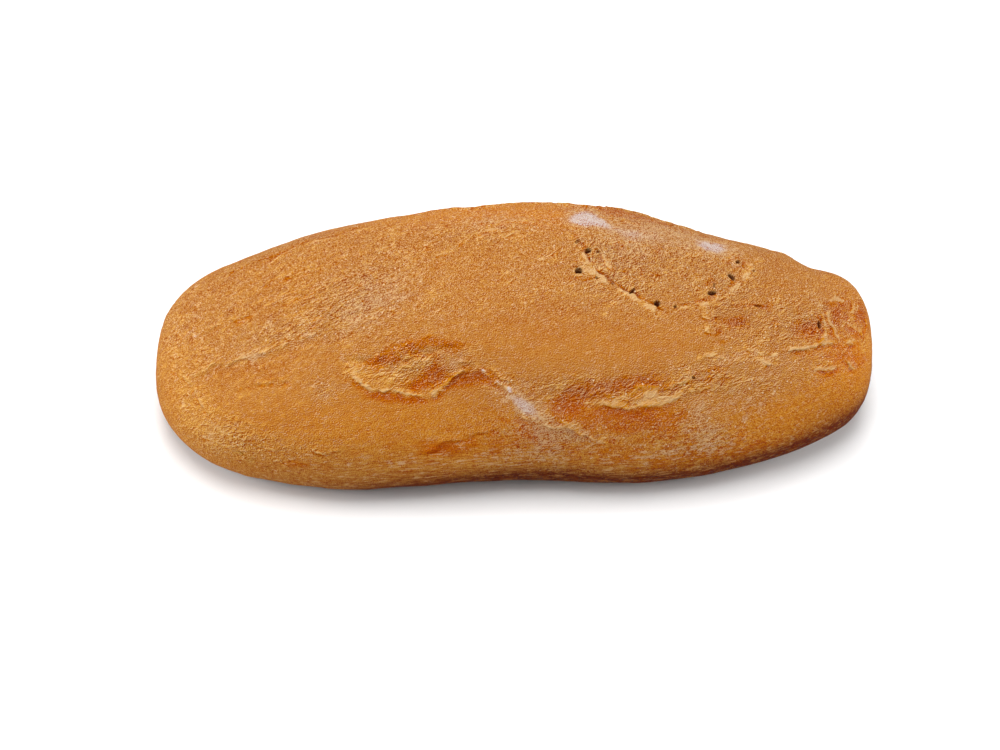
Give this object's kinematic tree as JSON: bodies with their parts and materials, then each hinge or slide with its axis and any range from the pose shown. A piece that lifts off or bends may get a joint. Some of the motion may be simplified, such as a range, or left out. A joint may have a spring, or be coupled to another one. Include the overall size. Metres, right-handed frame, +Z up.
{
  "type": "sourdough loaf",
  "caption": "Long oval hand-shaped loaf of bread, uncut, with a golden-brown floured crust, shallow folds, a slight waist, a small knob at one end and a flat base.",
  "frame": {"origin": "middle of the flat base, under the middle of the loaf's box", "axes": "+X along the loaf towards the end with the knob, +Z up from the base, -Y towards the front with the deep folds"},
  "size_m": [0.322, 0.1368, 0.0821],
  "materials": {
    "baked_crust": "matte, dry, golden-brown baked crust dusted with flour"
  },
  "bodies": {
    "root": {"loaf": "baked_crust"}
  },
  "joints": []
}
